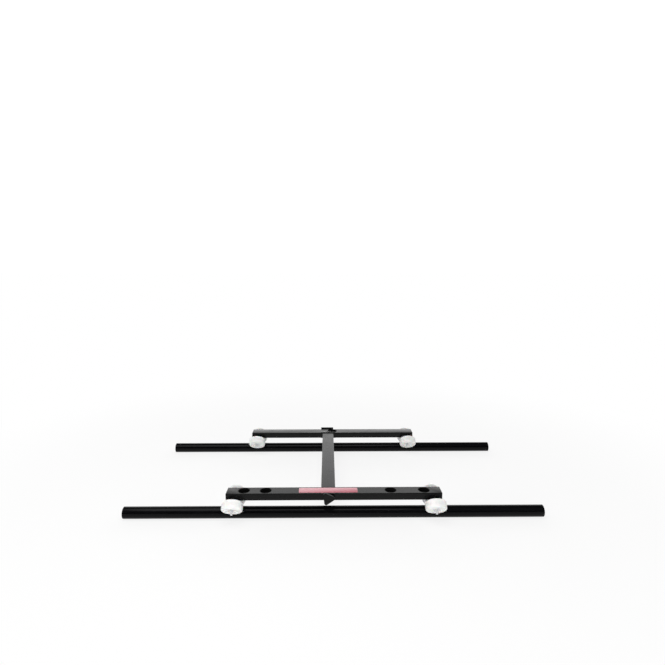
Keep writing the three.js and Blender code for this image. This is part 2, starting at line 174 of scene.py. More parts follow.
def lathe(name, profile, finish, segments=96, closed=False, crease=30):
    """A profile of (radius, height) points turned about Z. It rises on the outside."""
    vertices, rings = [], []
    for radius, height in profile:
        count = 1 if radius < 1e-6 else segments
        rings.append([len(vertices) + k for k in range(count)])
        for k in range(count):
            angle = 2 * math.pi * k / segments
            vertices.append((radius * math.cos(angle), radius * math.sin(angle), height))
    faces = []
    for low, high in zip(rings, rings[1:] + (rings[:1] if closed else [])):
        for k in range(segments):
            n = (k + 1) % segments
            if len(low) == 1:
                faces.append((low[0], high[n], high[k]))
            elif len(high) == 1:
                faces.append((low[k], low[n], high[0]))
            else:
                faces.append((low[k], low[n], high[n], high[k]))
    return made(name, vertices, faces, finish, crease)


def rounded_rectangle(width, height, radius, steps=5):
    """Corner points, counterclockwise."""
    x, y = width / 2 - radius, height / 2 - radius
    corners = [(x, -y, -90), (x, y, 0), (-x, y, 90), (-x, -y, 180)]
    return [p for cx, cy, start in corners for p in arc((cx, cy), radius, start, start + 90, steps)]


def extruded(name, section, low, high, finish, bore=None, crease=30):
    """A section of (y, z) points, counterclockwise seen from +X, between two places on X."""
    count = len(section)
    loops = [section] if bore is None else [section, bore]
    vertices, faces = [], []
    for loop in loops:
        vertices += [(low, y, z) for y, z in loop]
        vertices += [(high, y, z) for y, z in loop]
    for index in range(len(loops)):
        start = 2 * count * index
        for k in range(count):
            n = (k + 1) % count
            side = (start + k, start + n, start + count + n, start + count + k)
            faces.append(side if index == 0 else side[::-1])
    if bore is None:
        faces.append(tuple(range(count))[::-1])
        faces.append(tuple(range(count, 2 * count)))
    else:
        for k in range(count):
            n = (k + 1) % count
            faces.append((2 * count + k, 2 * count + n, n, k))
            faces.append((count + k, count + n, 3 * count + n, 3 * count + k))
    return made(name, vertices, faces, finish, crease)


def stacked(name, loops, finish, crease=30):
    """Loops of points with equal counts, skinned from the first to the last, with both ends closed."""
    count = len(loops[0])
    vertices = [p for loop in loops for p in loop]
    faces = [tuple(range(count))[::-1], tuple(range(len(vertices) - count, len(vertices)))]
    for index in range(len(loops) - 1):
        for k in range(count):
            n = (k + 1) % count
            base = index * count
            faces.append((base + k, base + n, base + count + n, base + count + k))
    return made(name, vertices, faces, finish, crease)


def combine(obj, operation, *others, crease=30, bevel=0):
    """Joins, cuts or intersects obj with the others, which are used up."""
    for other in others:
        step = obj.modifiers.new("combine", "BOOLEAN")
        step.operation = operation
        step.solver = "EXACT"
        step.object = other
    if bevel:
        step = obj.modifiers.new("edges", "BEVEL")
        step.width = bevel * MM
        step.segments = 2
        step.limit_method = "ANGLE"
        step.angle_limit = math.radians(40)
    bpy.context.view_layer.update()
    result = bpy.data.meshes.new_from_object(obj.evaluated_get(bpy.context.evaluated_depsgraph_get()))
    obj.modifiers.clear()
    obj.data = result
    result.name = obj.name
    result.shade_smooth()
    result.set_sharp_from_angle(angle=math.radians(crease))
    for other in others:
        bpy.data.objects.remove(other)
    return obj


def turned(obj, matrix):
    """Moves the mesh itself by a matrix whose shifts are in millimetres."""
    matrix = matrix.copy()
    matrix.translation *= MM
    obj.data.transform(matrix)
    return obj


def placed(obj, matrix):
    """Moves the object and keeps its mesh in its own axes."""
    matrix = matrix.copy()
    matrix.translation *= MM
    obj.matrix_world = matrix
    return obj


def shift(x, y, z):
    return Matrix.Translation((x, y, z))


def fitted(obj, body, slot, *nodes):
    """Puts a piece on its body, in place of the CAD nodes that it stands for. The slot argument is not used.
    """
    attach(obj, body)
    if nodes:
        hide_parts(*nodes)
    return obj


# Finishes


# Sockets of a Mix node that blends colours
MIX_FIRST = 6
MIX_SECOND = 7
MIX_RESULT = 2


class Nodes:
    """Short calls that add nodes to the tree of a material or a world."""

    def __init__(self, tree):
        self.tree = tree

    def node(self, kind, inputs=None, **settings):
        node = self.tree.nodes.new(kind)
        for key, value in settings.items():
            setattr(node, key, value)
        for key, value in (inputs or {}).items():
            self.feed(node.inputs[key], value)
        return node

    def feed(self, socket, value):
        if isinstance(value, bpy.types.NodeSocket):
            self.tree.links.new(value, socket)
        else:
            socket.default_value = value

    def span(self, value, low, high, to_low=0.0, to_high=1.0):
        """Maps a range of values smoothly onto another."""
        inputs = {"Value": value, "From Min": low, "From Max": high, "To Min": to_low, "To Max": to_high}
        return self.node("ShaderNodeMapRange", inputs, interpolation_type="SMOOTHSTEP").outputs["Result"]

    def maths(self, operation, a, b=0.0):
        return self.node("ShaderNodeMath", {0: a, 1: b}, operation=operation).outputs["Value"]


class Finish(Nodes):
    """A Principled material, with calls for the noise, colours, edges and bumps that feed it."""

    def __init__(self, name, **settings):
        self.material = bpy.data.materials.new(name)
        self.material.use_nodes = True
        super().__init__(self.material.node_tree)
        self.shader = self.tree.nodes["Principled BSDF"]
        self.place = self.node("ShaderNodeTexCoord").outputs["Object"]
        for socket, value in settings.items():
            self.set(socket, value)

    def set(self, socket, value):
        self.feed(self.shader.inputs[socket.replace("_", " ")], value)

    def noise(self, size, detail=3, stretch=(1, 1, 1)):
        """Noise from 0 to 1 in blotches of about size millimetres, times the stretch along each axis."""
        scale = tuple(1 / s for s in stretch)
        place = self.node("ShaderNodeMapping", {"Vector": self.place, "Scale": scale}).outputs["Vector"]
        inputs = {"Vector": place, "Scale": 1 / (size * MM), "Detail": detail, "Roughness": 0.5}
        return self.node("ShaderNodeTexNoise", inputs).outputs["Fac"]

    def mix(self, share, first, second):
        """Blends two colours, each of them an RGB triple or the output of a node."""
        inputs = {"Factor": share, MIX_FIRST: self.colour(first), MIX_SECOND: self.colour(second)}
        return self.node("ShaderNodeMix", inputs, data_type="RGBA").outputs[MIX_RESULT]

    @staticmethod
    def colour(value):
        return value if isinstance(value, bpy.types.NodeSocket) else (*value, 1.0)

    def edges(self, radius):
        """1 on edges and 0 away from them, where an edge is as wide as radius millimetres."""
        soft = self.node("ShaderNodeBevel", {"Radius": radius * MM}, samples=4).outputs["Normal"]
        hard = self.node("ShaderNodeNewGeometry").outputs["Normal"]
        dot = self.node("ShaderNodeVectorMath", {0: soft, 1: hard}, operation="DOT_PRODUCT").outputs["Value"]
        return self.span(dot, 0.97, 0.85)

    def bump(self, *layers):
        """Layers of (height from 0 to 1, depth in millimetres), one over the other."""
        normal = None
        for height, depth in layers:
            inputs = {"Height": height, "Distance": depth * MM, "Strength": 1.0}
            if normal:
                inputs["Normal"] = normal
            normal = self.node("ShaderNodeBump", inputs).outputs["Normal"]
        self.set("Normal", normal)


def enamel(name, shade, rough, stretch=(1, 1, 1), worn=0.35):
    """Sprayed black enamel: a faint orange peel, haze, fine rubs along the piece and dull grey edges."""
    finish = Finish(name, IOR=1.26)
    haze = finish.noise(45, detail=4)
    rubs = finish.span(finish.noise(1.2, detail=4, stretch=stretch), 0.56, 0.72)
    specks = finish.span(finish.noise(1.6, detail=2), 0.70, 0.78)
    chips = finish.maths("MULTIPLY", finish.edges(0.9), finish.span(finish.noise(5, detail=5), 0.52, 0.66))
    dark = tuple(shade * k for k in (0.75, 0.75, 0.8))
    light = tuple(shade * k for k in (1.3, 1.3, 1.35))
    colour = finish.mix(haze, dark, light)
    colour = finish.mix(finish.maths("MULTIPLY", rubs, 0.12), colour, (0.06, 0.06, 0.062))
    colour = finish.mix(finish.maths("MULTIPLY", specks, 0.10), colour, (0.25, 0.24, 0.22))
    colour = finish.mix(finish.maths("MULTIPLY", chips, worn), colour, (0.11, 0.11, 0.11))
    finish.set("Base Color", colour)
    roughness = finish.span(haze, 0.3, 0.7, rough - 0.05, rough + 0.06)
    roughness = finish.maths("ADD", roughness, finish.maths("MULTIPLY", rubs, 0.12))
    finish.set("Roughness", roughness)
    finish.bump((finish.noise(2.4, detail=2), 0.012), (rubs, -0.004))
    return finish.material


def rail_enamel():
    """Satin enamel on pipe, rubbed along the two lines where the wheels run, 45 degrees off its top."""
    finish = Finish("rail_enamel", IOR=1.20)
    haze = finish.noise(60, detail=4, stretch=(3, 1, 1))
    rubs = finish.span(finish.noise(1.1, detail=4, stretch=(30, 1, 1)), 0.54, 0.70)
    parts = finish.node("ShaderNodeSeparateXYZ", {"Vector": finish.place}).outputs
    angle = finish.maths("ARCTAN2", finish.maths("ABSOLUTE", parts["Y"]), parts["Z"])
    off = finish.maths("ABSOLUTE", finish.maths("SUBTRACT", angle, math.pi / 4))
    run = finish.span(off, math.radians(19), math.radians(8))
    patchy = finish.span(finish.noise(30, detail=5, stretch=(8, 1, 1)), 0.3, 0.7, 0.35, 1)
    run = finish.maths("MULTIPLY", run, patchy)
    colour = finish.mix(haze, (0.001, 0.001, 0.0013), (0.002, 0.002, 0.0026))
    colour = finish.mix(finish.maths("MULTIPLY", rubs, 0.07), colour, (0.05, 0.05, 0.053))
    colour = finish.mix(finish.maths("MULTIPLY", run, 0.05), colour, (0.05, 0.052, 0.058))
    finish.set("Base Color", colour)
    roughness = finish.span(haze, 0.3, 0.7, 0.12, 0.20)
    roughness = finish.maths("ADD", roughness, finish.maths("MULTIPLY", rubs, 0.12))
    finish.set("Roughness", finish.maths("SUBTRACT", roughness, finish.maths("MULTIPLY", run, 0.03)))
    finish.bump((finish.noise(2.8, detail=2, stretch=(3, 1, 1)), 0.010), (rubs, -0.005))
    return finish.material


def moulded(name, shade, rough, grain, depth, ior):
    """Moulded plastic or rubber with a fine grain and slightly polished edges."""
    finish = Finish(name, IOR=ior)
    cloud = finish.noise(14, detail=4)
    fine = finish.noise(grain, detail=2)
    edge = finish.edges(0.8)
    colour = finish.mix(cloud, (shade * 0.75,) * 3, (shade * 1.35,) * 3)
    dust = finish.span(finish.noise(2.2, detail=3), 0.66, 0.78)
    colour = finish.mix(finish.maths("MULTIPLY", dust, 0.12), colour, (0.16, 0.155, 0.145))
    colour = finish.mix(finish.maths("MULTIPLY", edge, 0.25), colour, (shade * 3,) * 3)
    finish.set("Base Color", colour)
    roughness = finish.span(cloud, 0.3, 0.7, rough - 0.06, rough + 0.06)
    finish.set("Roughness", finish.maths("SUBTRACT", roughness, finish.maths("MULTIPLY", edge, 0.12)))
    finish.bump((fine, depth))
    return finish.material


def urethane():
    """White cast urethane. Its tread is a little dulled and greyed where it runs on the pipe."""
    finish = Finish("white_urethane", IOR=1.5, Subsurface_Weight=0.08, Subsurface_Scale=0.004)
    cloud = finish.noise(22, detail=4)
    parts = finish.node("ShaderNodeSeparateXYZ", {"Vector": finish.place}).outputs
    along = finish.maths("ABSOLUTE", parts["Z"])
    flat = finish.node("ShaderNodeCombineXYZ", {"X": parts["X"], "Y": parts["Y"]}).outputs["Vector"]
    radius = finish.node("ShaderNodeVectorMath", {0: flat}, operation="LENGTH").outputs["Value"]
    tread = finish.maths(
        "MULTIPLY",
        finish.span(along, 8 * MM, 3 * MM),
        finish.span(radius, (WHEEL_RADIUS - 1.5) * MM, (WHEEL_RADIUS - 0.3) * MM),
    )
    smear = finish.maths("MULTIPLY", tread, finish.span(finish.noise(9, detail=5), 0.35, 0.75, 0.15, 1))
    specks = finish.span(finish.noise(1.5, detail=2), 0.72, 0.80)
    colour = finish.mix(cloud, (0.87, 0.87, 0.855), (0.92, 0.92, 0.905))
    colour = finish.mix(finish.maths("MULTIPLY", smear, 0.20), colour, (0.42, 0.42, 0.41))
    colour = finish.mix(finish.maths("MULTIPLY", specks, 0.25), colour, (0.45, 0.44, 0.42))
    finish.set("Base Color", colour)
    roughness = finish.span(cloud, 0.3, 0.7, 0.34, 0.44)
    finish.set("Roughness", finish.maths("ADD", roughness, finish.maths("MULTIPLY", smear, 0.2)))
    finish.bump((finish.noise(1.4, detail=3), 0.010), (smear, -0.02))
    return finish.material


def plated_steel():
    """Zinc plated steel, lightly turned and a little dulled."""
    finish = Finish("bright_steel", Metallic=0.6)
    cloud = finish.noise(4, detail=5)
    lines = finish.noise(0.5, detail=3, stretch=(1, 1, 0.15))
    colour = finish.mix(cloud, (0.74, 0.74, 0.75), (0.90, 0.90, 0.91))
    colour = finish.mix(finish.maths("MULTIPLY", finish.edges(0.5), 0.4), colour, (0.8, 0.8, 0.81))
    finish.set("Base Color", colour)
    finish.set("Roughness", finish.span(cloud, 0.25, 0.75, 0.34, 0.50))
    finish.bump((lines, 0.006), (finish.noise(2.0, detail=3), 0.012))
    return finish.material


def label_vinyl():
    """Bare red vinyl under a clear film, with faint rubs and paler edges."""
    finish = Finish("red_label", IOR=1.5)
    cloud = finish.noise(18, detail=4)
    rubs = finish.span(finish.noise(1.0, detail=4, stretch=(14, 1, 1)), 0.58, 0.72)
    colour = finish.mix(cloud, (0.43, 0.10, 0.135), (0.50, 0.13, 0.17))
    colour = finish.mix(finish.maths("MULTIPLY", rubs, 0.18), colour, (0.68, 0.36, 0.38))
    colour = finish.mix(finish.maths("MULTIPLY", finish.edges(0.6), 0.5), colour, (0.68, 0.32, 0.35))
    finish.set("Base Color", colour)
    finish.set("Roughness", finish.span(cloud, 0.3, 0.7, 0.16, 0.26))
    finish.bump((finish.noise(5, detail=3), 0.02), (rubs, -0.004))
    return finish.material


BAR_ENAMEL = enamel("bar_enamel", 0.0022, 0.19, stretch=(14, 3, 1))
BLOCK_ENAMEL = enamel("block_enamel", 0.0020, 0.22, worn=0.5)
RAIL_ENAMEL = rail_enamel()
PLASTIC = moulded("black_plastic", 0.0045, 0.48, 0.5, 0.015, 1.27)
RUBBER = moulded("black_rubber", 0.004, 0.70, 0.8, 0.02, 1.22)
URETHANE = urethane()
STEEL = plated_steel()
LABEL = label_vinyl()


# Track


def add_rail(name, y):
    """Pipe along X with a plug in each end. A plug's profile starts at its outer face."""
    centre = shift(0, y, RAIL_RADIUS)
    outer = arc((0, 0), RAIL_RADIUS, 0, 360, 96)[:-1]
    inner = arc((0, 0), RAIL_RADIUS - RAIL_WALL, 0, 360, 96)[:-1]
    reach = RAIL_LENGTH / 2 - PLUG_FLANGE - SEAT_GAP
    pipe = extruded(f"{name}_pipe", outer, -reach, reach, RAIL_ENAMEL, bore=inner)
    fitted(placed(pipe, centre), "track", "rail_enamel", f"rail_{name}")
    stub = RAIL_RADIUS - RAIL_WALL - SEAT_GAP
    depth = PLUG_FLANGE + PLUG_STUB
    profile = [(0, 0.4), (RAIL_RADIUS * 0.55, 0.15), (RAIL_RADIUS - 1.8, 0)]
    profile += arc((RAIL_RADIUS - PLUG_EDGE, PLUG_EDGE), PLUG_EDGE, -90, 0, 6)
    profile += [(RAIL_RADIUS, PLUG_FLANGE), (stub, PLUG_FLANGE)]
    profile += [(stub, depth - 5), (stub - 1.5, depth), (0, depth)]
    for side, end, turn in [("left", -1, math.pi / 2), ("right", 1, -math.pi / 2)]:
        plug = lathe(f"{name}_pipe_plug_{side}", profile, PLASTIC)
        place = shift(end * RAIL_LENGTH / 2, y, RAIL_RADIUS) @ Matrix.Rotation(turn, 4, "Y")
        fitted(placed(plug, place), "track", "black_plastic", f"rail_plug_{name}_{side}")


# Bars


def bar_tube(name, low, high):
    outer = rounded_rectangle(BAR_WIDTH, BAR_HEIGHT, BAR_CORNER)
    inner = rounded_rectangle(BAR_WIDTH - 2 * BAR_WALL, BAR_HEIGHT - 2 * BAR_WALL, BAR_CORNER / 2)
    return extruded(name, outer, low, high, BAR_ENAMEL, bore=inner)


def axle_line(side):
    """From a truck's own axes to those of the axle of its near (-1) or far (1) wheel."""
    lean = Matrix.Rotation(side * math.pi / 4, 4, "X")
    return shift(0, side * WHEEL_OFFSET, RAIL_RADIUS + WHEEL_OFFSET) @ lean


def rod(radius, low, high, segments=48):
    """Solid along Z for cutting holes. With six segments it is a hexagon."""
    return lathe("cutter", [(0, low), (radius, low), (radius, high), (0, high)], BAR_ENAMEL, segments)


def boss_slot(end, side):
    """Cutter for a slot in the tube's lower edge, round at its inner end and open at the bar's end."""
    radius = BOSS_RADIUS + SEAT_GAP
    reach = AXLE_INSET * 2
    outline = [(-reach, -radius)] + arc((0, 0), radius, -90, 90, 24) + [(-reach, radius)]
    heights = (WHEEL_WIDTH / 2, WHEEL_WIDTH / 2 + BOSS_SLOT_DEPTH)
    loops = [[(-end * px, -end * py, height) for px, py in outline] for height in heights]
    slot = stacked("cutter", loops, BAR_ENAMEL)
    return turned(slot, shift(end * WHEELBASE / 2, 0, 0) @ axle_line(side))


def add_cross_bar(name, y, cups):
    """Tube with its cups and trucks. It is cut at y = 0 and then moved to its rail."""
    reach = TUBE_LENGTH / 2
    tube = bar_tube(f"{name}_tube", -reach, reach)
    turned(tube, shift(0, 0, BAR_MIDDLE_Z))
    cutters = [boss_slot(end, side) for end in (-1, 1) for side in (-1, 1)]
    for x in cups.values():
        hole = rod(CUP_HOLE_RADIUS, BAR_MIDDLE_Z, BAR_TOP + 5, 80)
        cutters.append(turned(hole, shift(x, 0, 0)))
    if name == "front":
        hole = rod(CLAMP_HOLE_RADIUS, -BAR_WIDTH, BAR_WIDTH)
        place = shift(CENTRE_X, 0, BAR_MIDDLE_Z) @ Matrix.Rotation(math.pi / 2, 4, "X")
        cutters.append(turned(hole, place))
    combine(tube, "DIFFERENCE", *cutters)
    turned(tube, shift(0, y, 0))
    fitted(tube, "carriage", "bar_enamel", f"{name}_bar")
    for label, x in cups.items():
        add_cup(f"{name}_{label}", shift(x, y, BAR_TOP))
    add_truck(f"{name}_left", y, -1)
    add_truck(f"{name}_right", y, 1)


def add_cup(name, place):
    """Socket that stands on the tube's lower wall, with heights from the bar's top face."""
    foot, floor = BAR_WALL + SEAT_GAP - BAR_HEIGHT, -CUP_DEPTH
    profile = [(0, foot)]
    profile += arc((CUP_RADIUS - 1.5, foot + 1.5), 1.5, -90, 0, 4)
    profile += arc((CUP_RADIUS - 0.4, CUP_RIM - 0.4), 0.4, 0, 90, 4)
    profile += arc((CUP_MOUTH_RADIUS + 0.6, CUP_RIM - 0.6), 0.6, 90, 178, 6)
    profile += arc((CUP_FLOOR_RADIUS - 2.6, floor + 3), 3, 0, -90, 6)
    profile += [(0, floor)]
    cup = lathe(f"cup_{name}", profile, RUBBER, 80, crease=40)
    fitted(placed(cup, place), "carriage", "black_rubber", f"foot_cup_{name}")


def add_centre_bar():
    front = -GAUGE / 2 + BAR_WIDTH / 2 + SEAT_GAP
    rear = GAUGE / 2 - BAR_WIDTH / 2 - SADDLE_THICKNESS - 2 * SEAT_GAP
    tube = bar_tube("centre_tube", front, rear)
    turned(tube, shift(CENTRE_X, 0, BAR_MIDDLE_Z) @ Matrix.Rotation(math.pi / 2, 4, "Z"))
    fitted(tube, "carriage", "bar_enamel", "centre_bar")


def add_saddle():
    """Plate over the rear bar with a lip behind, a flange down its front and a bite round the cup's hole."""
    front = -BAR_WIDTH / 2 - SEAT_GAP
    rear = BAR_WIDTH / 2
    low = BAR_TOP + SEAT_GAP
    high = low + SADDLE_THICKNESS
    top = [(front - 0.2, low), (rear, low)]
    top += arc((rear - 0.8, high + SADDLE_LIP - 0.8), 0.8, 0, 90, 4)
    top += arc((rear - SADDLE_THICKNESS + 0.8, high + SADDLE_LIP - 0.8), 0.8, 90, 180, 4)
    top += arc((rear - SADDLE_THICKNESS - 1.5, high + 1.5), 1.5, 0, -90, 5)
    top += [(front - 0.2, high)]
    reach = SADDLE_WIDTH / 2
    plate = extruded("saddle_plate", top, SADDLE_X - reach, SADDLE_X + reach, BAR_ENAMEL)
    bottom = BAR_UNDERSIDE + SADDLE_FLANGE_RISE
    section = [(front - SADDLE_THICKNESS, bottom), (front, bottom), (front, high)]
    section += arc((front - SADDLE_THICKNESS + SADDLE_BEND, high - SADDLE_BEND), SADDLE_BEND, 90, 180, 7)
    reach = SADDLE_FLANGE_WIDTH / 2
    flange = extruded("flange", section, CENTRE_X - reach, CENTRE_X + reach, BAR_ENAMEL)
    combine(plate, "UNION", flange)
    bite = rod(CUP_HOLE_RADIUS + SADDLE_BITE_MARGIN, low - 1, high + 1, 80)
    combine(plate, "DIFFERENCE", bite, bevel=0.5)
    turned(plate, shift(0, GAUGE / 2, 0))
    fitted(plate, "carriage", "bar_enamel", "rear_saddle")


def add_label():
    """Thin bare label along the middle of the front bar's top."""
    outline = rounded_rectangle(LABEL_LENGTH, LABEL_WIDTH, LABEL_CORNER)
    low = BAR_TOP + LABEL_LIFT
    high = low + LABEL_THICKNESS
    y = -GAUGE / 2
    loops = [
        [(CENTRE_X + px * k, y + py * k, z) for px, py in outline]
        for k, z in [(1, low), (1, high - 0.08), (0.9985, high)]
    ]
    fitted(stacked("label", loops, LABEL), "carriage", "red_label")


# Trucks


def wheel_profile():
    """Closed ring, the same on both sides: tread, side with a sunk groove, recess, bearing seat and bore."""
    half = WHEEL_WIDTH / 2
    hub = HUB_WIDTH / 2
    lip = WHEEL_LIP_RADIUS
    seat = BEARING_RADIUS + 0.15
    upper = arc((WHEEL_RADIUS - lip, half - lip), lip, 0, 90, 10)
    upper += arc((23.4, half - 0.5), 0.5, 90, 180, 3)
    upper += [(22.9, half - 1.1), (22.3, half - 1.1)]
    upper += arc((21.8, half - 0.5), 0.5, 0, 90, 3)
    upper += arc((HUB_RECESS_RADIUS + 1.2, half - 1.0), 1.0, 90, 180, 4)
    upper += arc((HUB_RECESS_RADIUS - 1.6, hub + 1.6), 1.6, 0, -90, 5)
    upper += [(seat + 0.5, hub), (seat, hub - 0.5), (seat, hub - BEARING_WIDTH - SEAT_GAP)]
    upper += [(HUB_BORE_RADIUS, hub - BEARING_WIDTH - SEAT_GAP)]
    lower = [(radius, -height) for radius, height in reversed(upper)]
    return lower + upper


def bearing_profile():
    """Closed ring with its outer face at z = 0: outer race, sunk shield and inner race."""
    back = -BEARING_WIDTH
    bore = BEARING_BORE_RADIUS
    profile = [(bore, back + 0.4), (bore + 0.4, back), (BEARING_RADIUS - 0.5, back)]
    profile += [(BEARING_RADIUS, back + 0.5), (BEARING_RADIUS, -0.5)]
    profile += [(BEARING_RADIUS - 0.5, 0), (9.5, 0), (9.35, -0.15), (9.2, -0.55), (8.9, -0.6)]
    profile += [(8.6, -0.35), (6.7, -0.35), (6.3, -0.6), (6.05, -0.6), (5.95, -0.1), (5.85, 0)]
    profile += [(bore + 0.4, 0), (bore, -0.4)]
    return profile


def axle_bolt(name):
    """Bolt through the wheel. Along -Z come its washer, its lock nut and the threaded end."""
    face = -HUB_WIDTH / 2 - SEAT_GAP
    washer = face - AXLE_WASHER_THICKNESS
    nut = washer - LOCK_NUT_HEIGHT
    collar = nut - LOCK_NUT_COLLAR_HEIGHT
    end = collar - AXLE_END
    inner = HUB_WIDTH / 2 + AXLE_HOLE_DEPTH - AXLE_HOLE_CLEARANCE
    root = AXLE_END_RADIUS - THREAD_DEPTH
    profile = [(0, end), (AXLE_END_RADIUS - 1.0, end), (root, end + 0.3)]
    for turn in range(THREAD_TURNS):
        crest = end + THREAD_START + THREAD_PITCH * turn
        profile += [(AXLE_END_RADIUS, crest), (root, crest + THREAD_PITCH / 2)]
    last_crest = end + THREAD_START + THREAD_PITCH * THREAD_TURNS
    profile += [(AXLE_END_RADIUS, last_crest), (AXLE_END_RADIUS, collar + 0.5), (4.6, collar + 0.15)]
    profile += arc((LOCK_NUT_COLLAR_RADIUS - 1, collar + 1), 1, -70, 0, 5)
    rim = AXLE_WASHER_RADIUS
    profile += [(LOCK_NUT_COLLAR_RADIUS, washer), (rim - 0.4, washer), (rim, washer + 0.4), (rim, face - 0.4)]
    profile += [(rim - 0.4, face), (AXLE_RADIUS, face), (AXLE_RADIUS, inner), (0, inner)]
    body = lathe(name, profile, STEEL, 64)
    corner = LOCK_NUT_FLATS / 2 / math.cos(math.pi / 6)
    back = washer + 0.4
    hexagon = rod(corner, nut, back, 6)
    chamfer = [(0, nut), (6.2, nut), (corner + 0.1, nut + 0.85), (corner + 0.1, back), (0, back)]
    combine(hexagon, "INTERSECT", lathe("cutter", chamfer, STEEL, 64))
    return combine(body, "UNION", hexagon)


def add_truck(name, y, end):
    truck = shift(end * WHEELBASE / 2, y, 0)
    add_end_block(name, truck, end)
    for label, side in [("near", -1), ("far", 1)]:
        place = truck @ axle_line(side)
        full = f"{name}_{label}"
        wheel = lathe(f"tread_{full}", wheel_profile(), URETHANE, 128, closed=True, crease=50)
        fitted(placed(wheel, place), f"roller_{full}", "white_urethane", f"wheel_{full}")
        for part, seat, turn in [("inner", HUB_WIDTH / 2, 0), ("outer", -HUB_WIDTH / 2, math.pi)]:
            bearing = lathe(f"{part}_race_{full}", bearing_profile(), STEEL, 64, closed=True)
            place_bearing = place @ shift(0, 0, seat) @ Matrix.Rotation(turn, 4, "X")
            fitted(placed(bearing, place_bearing), f"roller_{full}", "bright_steel", f"{part}_bearing_{full}")
        bolt = placed(axle_bolt(f"axle_{full}"), place)
        fitted(bolt, "carriage", "bright_steel", f"axle_bolt_{full}")


def add_end_block(name, truck, end):
    """Cap with rounded edges, insert and two bosses. x = 0 is on the axles and the insert points to +X."""
    outer = -AXLE_INSET
    loops = []
    for inset, x in arc((CAP_EDGE, CAP_EDGE), CAP_EDGE, -90, -180, 5):
        outline = rounded_rectangle(BAR_WIDTH - 2 * inset, BAR_HEIGHT - 2 * inset, BAR_CORNER - inset * 0.8)
        loops.append([(outer + x, py, pz + BAR_MIDDLE_Z) for py, pz in outline])
    full = rounded_rectangle(BAR_WIDTH, BAR_HEIGHT, BAR_CORNER)
    loops.append([(outer + CAP_THICKNESS, py, pz + BAR_MIDDLE_Z) for py, pz in full])
    block = stacked(f"block_{name}", loops, BLOCK_ENAMEL)
    width = BAR_WIDTH - 2 * BAR_WALL - 2 * SEAT_GAP
    height = BAR_HEIGHT - 2 * BAR_WALL - 2 * SEAT_GAP
    section = [(py, pz + BAR_MIDDLE_Z) for py, pz in rounded_rectangle(width, height, BAR_CORNER)]
    parts = [extruded("insert", section, outer + CAP_THICKNESS / 2, outer + BLOCK_DEPTH, BLOCK_ENAMEL)]
    tip = HUB_WIDTH / 2 + SEAT_GAP
    root = tip + AXLE_HOLE_DEPTH
    profile = [(0, tip), (BOSS_RADIUS - 0.5, tip), (BOSS_RADIUS, tip + 0.5), (BOSS_RADIUS, root), (0, root)]
    for side in (-1, 1):
        boss = lathe("boss", profile, BLOCK_ENAMEL, 48)
        parts.append(turned(boss, axle_line(side)))
    combine(block, "UNION", *parts)
    holes = [turned(rod(BOSS_HOLE_RADIUS, tip - 1, root), axle_line(side)) for side in (-1, 1)]
    combine(block, "DIFFERENCE", *holes)
    turn = Matrix.Rotation(0 if end < 0 else math.pi, 4, "Z")
    fitted(placed(block, truck @ turn), "carriage", "block_enamel", f"end_block_{name}")


# Clamp


def knob_outline(inset, height):
    """Three round tips joined by straight sides."""
    reach = KNOB_TIP_RADIUS - KNOB_TIP_ROUND
    points = []
    for angle in (KNOB_LOBE_ANGLE, KNOB_LOBE_ANGLE + 120, KNOB_LOBE_ANGLE + 240):
        tip = (reach * math.cos(math.radians(angle)), reach * math.sin(math.radians(angle)))
        points += arc(tip, KNOB_TIP_ROUND - inset, angle - 60, angle + 60, 20)
    return [(px, py, height) for px, py in points]


def add_clamp():
    """Knob and washer. Local +Z points out of the front bar's face, along the knob's axis."""
    place = shift(CENTRE_X, -(GAUGE + BAR_WIDTH) / 2, BAR_MIDDLE_Z) @ Matrix.Rotation(math.pi / 2, 4, "X")
    foot = SEAT_GAP * 2 + WASHER_THICKNESS
    low = foot + KNOB_HUB_HEIGHT
    high = low + KNOB_THICKNESS
    edge = KNOB_EDGE
    loops = [knob_outline(edge - px, low + edge + py) for px, py in arc((0, 0), edge, -90, 0, 6)]
    loops += [knob_outline(edge - px, high - edge + py) for px, py in arc((0, 0), edge, 0, 90, 6)]
    knob = stacked("lobe_knob", loops, PLASTIC)
    hub_end = low + KNOB_HUB_OVERLAP
    hub_profile = [(0, foot), (KNOB_HUB_RADIUS - 0.6, foot), (KNOB_HUB_RADIUS, foot + 0.6)]
    hub_profile += [(KNOB_HUB_RADIUS, hub_end), (0, hub_end)]
    combine(knob, "UNION", lathe("hub", hub_profile, PLASTIC, 72))
    base = high - KNOB_DISH_DEPTH
    mouth = KNOB_DISH_RADIUS + 0.5
    dish = [(0, base + 0.2), (4, base + 0.2), (4.6, base)]
    dish += arc((KNOB_DISH_RADIUS - 0.8, base + 0.8), 0.8, -90, 0, 5)
    dish += [(KNOB_DISH_RADIUS, high - 0.3), (mouth, high + 0.2), (mouth, high + 1), (0, high + 1)]
    bore = rod(CLAMP_BOLT_RADIUS + SEAT_GAP, foot - 1, low + CLAMP_BOLT_IN_KNOB)
    combine(knob, "DIFFERENCE", lathe("cutter", dish, PLASTIC, 72), bore)
    fitted(placed(knob, place), "clamp_screw", "black_plastic", "clamp_knob")
    back = SEAT_GAP + WASHER_THICKNESS
    ring = [(CLAMP_HOLE_RADIUS, SEAT_GAP), (WASHER_RADIUS - 0.4, SEAT_GAP), (WASHER_RADIUS, SEAT_GAP + 0.4)]
    ring += [(WASHER_RADIUS, back - 0.4), (WASHER_RADIUS - 0.4, back), (CLAMP_HOLE_RADIUS, back)]
    washer = lathe("knob_washer", ring, STEEL, 72, closed=True)
    fitted(placed(washer, place), "clamp_collar", "bright_steel", "clamp_washer")


# Floor, light and camera


